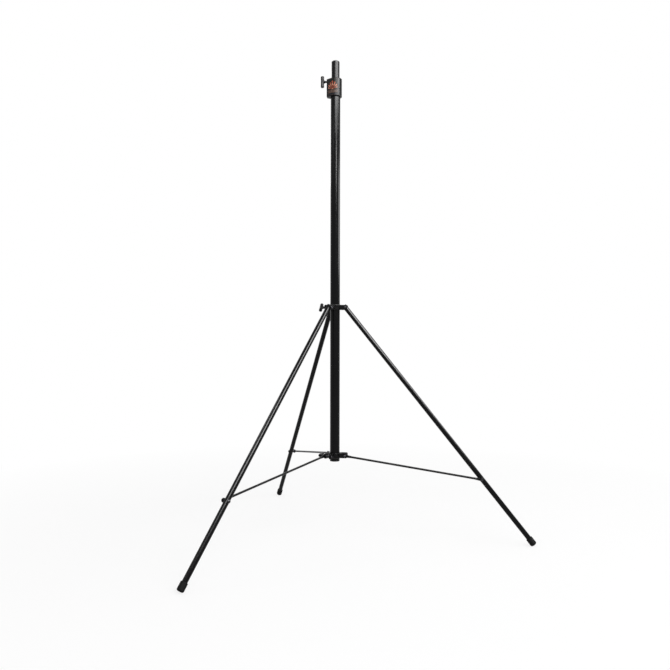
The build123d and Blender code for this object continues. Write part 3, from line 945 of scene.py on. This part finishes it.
@dataclass
class HeadLabel:
    """Foil label round the front of the head, printed with a plain fan of light beams over two bands."""

    layout: Layout
    head_r: float = 25.3
    nose_x: float = -31.325
    nose_y: float = -6.5
    nose_r: float = 3.0
    low_x: float = -27.0
    high_x: float = 12.0
    height: float = 65.0
    from_base: float = 3.0
    thick: float = 0.3
    behind: float = 0.01
    emboss: float = 0.08
    fan_foot: float = 22.0
    fan_reach: tuple[float, float] = (5.0, 33.0)
    fan_fall: float = 0.3
    fan_angles: tuple[float, float] = (14.0, 166.0)
    beam_step: float = 22.5
    rose_ring: tuple[float, float] = (15.0, 24.0)
    disc_r: float = 3.6
    umber_band: tuple[float, float] = (8.5, 20.0)
    navy_top: float = 6.5
    frame: tuple[float, float] = (0.9, 1.5)
    plain_edge: float = 0.3
    worn_to: str = "#2A2622"
    worn_range: tuple[float, float] = (0.5, 0.7)
    worn_share: float = 0.35
    rub_mm: float = 2.5
    roughness: tuple[float, float] = (0.34, 0.46)
    columns: int = 180
    rows: int = 240

    def tangent_angle(self) -> float:
        """Angle at which the head's round front runs into its straight cheek."""
        span = math.hypot(self.nose_x, self.nose_y)
        towards = math.atan2(self.nose_y, self.nose_x) % (2 * math.pi)
        return towards + math.acos((self.head_r - self.nose_r) / span)

    def straight(self) -> float:
        """Length of the label's part on the straight cheek."""
        start = self.tangent_angle()
        return (self.head_r * math.cos(start) - self.low_x) / -math.sin(start)

    def outline(self, way: Array) -> tuple[Array, Array]:
        """Walk the head's plan: straight along the cheek's tangent, then round the circle.

        Args:
            way: Distances along the label from its left edge.

        Returns:
            The points of the plan, and the outward directions there.
        """
        start, straight = self.tangent_angle(), self.straight()
        angle = start + np.maximum(way - straight, 0) / self.head_r
        outward = np.stack([np.cos(angle), np.sin(angle)], axis=-1)
        back = np.minimum(way - straight, 0)[:, None] * np.array([-math.sin(start), math.cos(start)])
        return outward * self.head_r + back, outward

    def width(self) -> float:
        """Length of the label along the head."""
        end = 2 * math.pi - math.acos(self.high_x / self.head_r)
        return self.straight() + (end - self.tangent_angle()) * self.head_r

    def print_plan(self, across: Array, up: Array) -> tuple[Array, Array]:
        """Work out the print: a fan of wedges whose brightness alternates with the angle about the
        fan's foot, two plain bands below it, and a fine frame.

        Args:
            across: Millimetres from the label's middle.
            up: Millimetres from its lower edge.

        Returns:
            The number of each point's ink, and how far it is embossed, from 0 to 1.
        """
        inks = list(Ink)
        edge = np.minimum(self.width() / 2 - np.abs(across), np.minimum(up, self.height - up))
        angle = np.degrees(np.arctan2(up - self.fan_foot, across))
        reach = np.hypot(across, up - self.fan_foot)
        beam = np.cos(np.radians(angle * 360 / self.beam_step))
        (near, far), (first, last) = self.fan_reach, self.fan_angles
        rim = far - self.fan_fall * np.abs(across)
        fan = (reach > near) & (reach < rim) & (angle > first) & (angle < last) & (beam > -0.1)
        disc = (reach < self.disc_r) & (up > self.fan_foot)
        band = (up > self.umber_band[0]) & (up < self.umber_band[1])
        ink = np.zeros(across.shape)
        ink[fan] = inks.index(Ink.BRICK)
        ink[fan & (reach > self.rose_ring[0]) & (reach < self.rose_ring[1])] = inks.index(Ink.ROSE)
        ink[disc] = inks.index(Ink.ROSE)
        ink[band] = inks.index(Ink.UMBER)
        ink[up < self.navy_top] = inks.index(Ink.NAVY)
        frame = (edge > self.frame[0]) & (edge < self.frame[1])
        ink[frame] = inks.index(Ink.UMBER)
        raised = np.where(fan | disc | frame | band, 1.0, 0.0)
        return ink, np.where(edge < self.plain_edge, 0.0, raised)

    def material(self) -> bpy.types.Material:
        """Return the printed foil: satin lacquer over inks chosen by the piece's own ink attribute."""
        made = bpy.data.materials.new("printed_foil_label")
        tree = blank_tree(made)
        ink = add_node(tree, "ShaderNodeAttribute", {"attribute_name": "ink"})
        place = add_node(tree, "ShaderNodeTexCoord")
        rub = add_node(
            tree,
            "ShaderNodeTexNoise",
            {"Scale": 1 / (self.rub_mm * MM), "Detail": 5.0, "Roughness": 0.7},
            {"Vector": place.outputs["Object"]},
        )
        fade = add_node(
            tree,
            "ShaderNodeMapRange",
            ramp(self.worn_range, (0.0, self.worn_share)),
            {"Value": rub.outputs["Fac"]},
        )
        worn = add_node(
            tree,
            "ShaderNodeMix",
            {"data_type": "RGBA"},
            {0: fade.outputs["Result"], 6: ink.outputs["Color"]},
        )
        worn.inputs[7].default_value = linear(self.worn_to)
        gloss = add_node(
            tree,
            "ShaderNodeMapRange",
            ramp(GLOSS_RANGE, self.roughness),
            {"Value": rub.outputs["Fac"]},
        )
        shader = add_node(
            tree,
            "ShaderNodeBsdfPrincipled",
            {"IOR": DEEP_BLACK_IOR},
            {"Base Color": worn.outputs[2], "Roughness": gloss.outputs["Result"]},
        )
        add_node(tree, "ShaderNodeOutputMaterial", links={"Surface": shader.outputs["BSDF"]})
        return made

    def build(self) -> None:
        """Make the label as a closed skin, embossed and inked by the same plan."""
        width = self.width()
        way = np.linspace(0, width, self.columns + 1)
        up = np.linspace(0, self.height, self.rows + 1)
        plan, outward = self.outline(way)
        across_grid, up_grid = np.meshgrid(way - width / 2, up)
        ink, raised = self.print_plan(across_grid, up_grid)
        level = self.thick - self.emboss * (1 - raised)
        base_z = self.layout.head_base_z + self.from_base
        height = np.broadcast_to((up + base_z)[:, None, None], (*ink.shape, 1))
        front = np.concatenate([plan[None] + outward[None] * level[..., None], height], axis=-1)
        behind = np.broadcast_to(plan + outward * self.behind, (*ink.shape, 2))
        back = np.concatenate([behind, height], axis=-1)
        loop = np.concatenate([front, back[:, ::-1], front[:, :1]], axis=1)
        caps = [np.stack([front[row], back[row]]) for row in (0, -1)]
        label = make_piece("printed_label", [(grid, PLUG_PLASTIC) for grid in (loop, *caps)], 25)
        label.data.materials[0] = self.material()
        self.paint(label.data)
        hand_over(label, "mast", "printed_label", "head_label")

    def paint(self, mesh: bpy.types.Mesh) -> None:
        """Store each point's ink colour, read again from the plan at the point's own place."""
        points = np.empty(len(mesh.vertices) * 3)
        mesh.vertices.foreach_get("co", points)
        x, y, z = points.reshape(-1, 3).T / MM
        start, straight = self.tangent_angle(), self.straight()
        along = -x * math.sin(start) + y * math.cos(start)
        round_way = straight + (np.arctan2(y, x) % (2 * math.pi) - start) * self.head_r
        way = np.where(along < 0, straight + along, round_way)
        ink, _ = self.print_plan(way - self.width() / 2, z - self.layout.head_base_z - self.from_base)
        colours = np.array([linear(colour.value) for colour in Ink])
        store = mesh.color_attributes.new("ink", "FLOAT_COLOR", "POINT")
        store.data.foreach_set("color", colours[ink.astype(int)].ravel())


# ---------------------------------------------------------------------------------- studio


# A lamp's twin hangs a little nearer the origin, so that the two never lie in one plane.
TWIN_NEARER = 0.99
WHITE = (1.0, 1.0, 1.0, 1.0)


@dataclass(frozen=True)
class SoftBox:
    """One soft light: its place, target, size and power. Its twin lights gloss only, with shine times
    the power."""

    name: str
    at: tuple[float, float, float]
    towards: tuple[float, float, float]
    size: tuple[float, float]
    watts: float
    shine: float = 3.8

    def build(self) -> None:
        """Hang the lamp and its twin."""
        aim = (Vector(self.towards) - Vector(self.at)).to_track_quat("-Z", "Y")
        twin = f"{self.name}_shine", self.watts * self.shine, TWIN_NEARER
        for name, watts, nearer in ((self.name, self.watts, 1.0), twin):
            lamp = bpy.data.lights.new(name, "AREA")
            lamp.shape, lamp.size, lamp.size_y, lamp.energy = "RECTANGLE", *self.size, watts
            holder = bpy.data.objects.new(name, lamp)
            holder.location = Vector(self.at) * nearer
            holder.rotation_mode = "QUATERNION"
            holder.rotation_quaternion = aim
            holder.visible_diffuse = nearer == 1.0
            bpy.context.scene.collection.objects.link(holder)


@dataclass
class Studio:
    """Pale floor, white surroundings, soft lamps and the camera."""

    camera_at: tuple[float, float, float] = (0.40733, -2.66616, 0.79288)
    look: tuple[float, float, float] = (-0.15105, 0.98853, 0.00132)
    roll: float = 0.1127
    lens: float = 36.713
    floor_r: float = 40.0
    floor_drop: float = 0.2
    paper_colour: tuple[float, float, float, float] = (0.86, 0.86, 0.86, 1.0)
    paper_white: tuple[float, float] = (0.8, 1.0)
    paper_radii: tuple[float, float] = (0.9, 2.4)
    world_light: float = 0.45
    boxes: tuple[SoftBox, ...] = (
        SoftBox("key_softbox", (3.3, -1.9, 3.85), (0.0, 0.0, 1.4), (3.6, 1.5), 125.0, 5.0),
        SoftBox("side_softbox", (2.08, 0.7, 1.64), (0.0, 0.0, 1.64), (1.6, 0.76), 12.0, 2.4),
        SoftBox("front_softbox", (1.66, -2.5, 2.24), (0.0, 0.0, 1.6), (0.7, 0.3), 6.5),
        SoftBox("overhead_softbox", (0.9, -2.9, 3.1), (0.0, 0.0, 0.5), (2.2, 0.9), 31.0, 5.0),
        SoftBox("left_softbox", (-3.2, -1.0, 4.3), (0.0, 0.0, 0.5), (0.9, 0.7), 17.0, 0.8),
        SoftBox("low_left_softbox", (-2.1, -2.1, 2.43), (0.0, 0.0, 1.6), (0.5, 0.3), 0.7),
        SoftBox("rear_softbox", (-1.3, 3.0, 2.7), (0.0, 0.0, 0.9), (1.6, 1.2), 14.0, 0.1),
    )

    def camera(self) -> None:
        """Set up the camera, looking nearly level at the label's side from a little to the right."""
        data = bpy.data.cameras.new("camera")
        data.lens, data.sensor_width, data.clip_end = self.lens, 36.0, 100.0
        holder = bpy.data.objects.new("camera", data)
        look = Vector(self.look).normalized()
        level = look.to_track_quat("-Z", "Y").to_matrix().to_4x4()
        turned_camera = level @ Matrix.Rotation(math.radians(self.roll), 4, "Z")
        holder.matrix_world = Matrix.Translation(self.camera_at) @ turned_camera
        bpy.context.scene.collection.objects.link(holder)
        bpy.context.scene.camera = holder

    def seen(self, tree: bpy.types.NodeTree) -> bpy.types.NodeSocket:
        """Return a factor that is 1 for what the camera, a reflection or glass shows, and 0 for light."""
        path = add_node(tree, "ShaderNodeLightPath")
        mirrored = add_node(
            tree,
            "ShaderNodeMath",
            {"operation": "ADD"},
            {0: path.outputs["Is Camera Ray"], 1: path.outputs["Is Glossy Ray"]},
        )
        return add_node(
            tree,
            "ShaderNodeMath",
            {"operation": "ADD", "use_clamp": True},
            {0: mirrored.outputs[0], 1: path.outputs["Is Transmission Ray"]},
        ).outputs[0]

    def world(self) -> None:
        """White where it is seen, and a plain grey light elsewhere."""
        world = bpy.data.worlds.new("studio")
        tree = blank_tree(world)
        light = add_node(tree, "ShaderNodeBackground", {"Color": WHITE, "Strength": self.world_light})
        shown = add_node(tree, "ShaderNodeBackground", {"Color": WHITE, "Strength": 1.0})
        mixed = add_node(
            tree,
            "ShaderNodeMixShader",
            links={0: self.seen(tree), 1: light.outputs[0], 2: shown.outputs[0]},
        )
        add_node(tree, "ShaderNodeOutputWorld", links={"Surface": mixed.outputs[0]})
        bpy.context.scene.world = world

    def paper(self) -> bpy.types.Material:
        """Pale paper that keeps a shadow near the stand and turns plain white further out."""
        made = bpy.data.materials.new("pale_paper")
        tree = blank_tree(made)
        place = add_node(tree, "ShaderNodeTexCoord")
        out = add_node(tree, "ShaderNodeVectorMath", {"operation": "LENGTH"}, {0: place.outputs["Object"]})
        spread = add_node(
            tree,
            "ShaderNodeMapRange",
            ramp(self.paper_radii, self.paper_white),
            {"Value": out.outputs["Value"]},
        )
        share = add_node(
            tree,
            "ShaderNodeMath",
            {"operation": "MULTIPLY"},
            {0: self.seen(tree), 1: spread.outputs["Result"]},
        )
        sheet = add_node(tree, "ShaderNodeBsdfDiffuse", {"Color": self.paper_colour})
        white = add_node(tree, "ShaderNodeEmission", {"Color": WHITE, "Strength": 1.0})
        mixed = add_node(
            tree,
            "ShaderNodeMixShader",
            links={0: share.outputs[0], 1: sheet.outputs[0], 2: white.outputs[0]},
        )
        add_node(tree, "ShaderNodeOutputMaterial", links={"Surface": mixed.outputs[0]})
        return made

    def floor(self) -> None:
        """Lay the pale floor just under the feet, running out to the horizon."""
        disc = turned([(0, -self.floor_drop), (self.floor_r / MM, -self.floor_drop)], 96)
        floor = make_piece("floor", [(disc, PLUG_PLASTIC)])
        floor.data.materials[0] = self.paper()
        floor.data.flip_normals()

    def build(self) -> None:
        """Set up the camera, lamps, surroundings and floor."""
        bpy.context.scene.view_settings.view_transform = "Standard"
        self.camera()
        self.world()
        self.floor()
        for box in self.boxes:
            box.build()


# ---------------------------------------------------------------------------------- the stand


@dataclass
class LightingStand:
    """The whole stand: finishes on the CAD pieces and detailed pieces in place of the plain ones."""

    nodes: dict[str, bpy.types.Object]
    layout: Layout = field(default_factory=Layout)

    def dress(self) -> None:
        """Give every CAD piece that stays its finish."""
        for name, node in sorted(self.nodes.items()):
            finish = CAD_FINISHES.get(name) or CAD_FINISHES.get(name.rstrip("_0123456789"))
            if finish is None:
                continue
            for slot in node.material_slots:
                slot.material = finish.material()
            LOG.info("%s: %s", name, finish.name)

    def build(self) -> None:
        """Dress the CAD pieces and make the detailed ones."""
        layout = self.layout
        self.dress()
        Pivots("leg", "leg_collar", layout.leg_pivot_z, layout.cheek_outer, layout).build()
        brace_nut_seat = layout.brace_side + layout.eye_thick / 2 + layout.face_clear
        Pivots("brace", "mast", layout.brace_pivot_z, brace_nut_seat, layout).build()
        TeeScrew("head", layout.riser_r, layout.head_screw_z, 0.0, layout).build()
        TeeScrew("leg_collar", layout.mast_r, layout.leg_pivot_z, 54.0, layout).build()
        TeeScrew("brace_collar", layout.mast_r, layout.brace_pivot_z, 90.0, layout).build()
        for index in range(3):
            Leg(index, layout).build()
        HeadLabel(layout).build()


def main() -> None:
    """Build the studio and the stand round the CAD frame."""
    logging.basicConfig(level=logging.INFO, format="%(message)s")
    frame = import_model()
    Studio().build()
    LightingStand(frame["nodes"]).build()


if __name__ == "__main__":
    main()
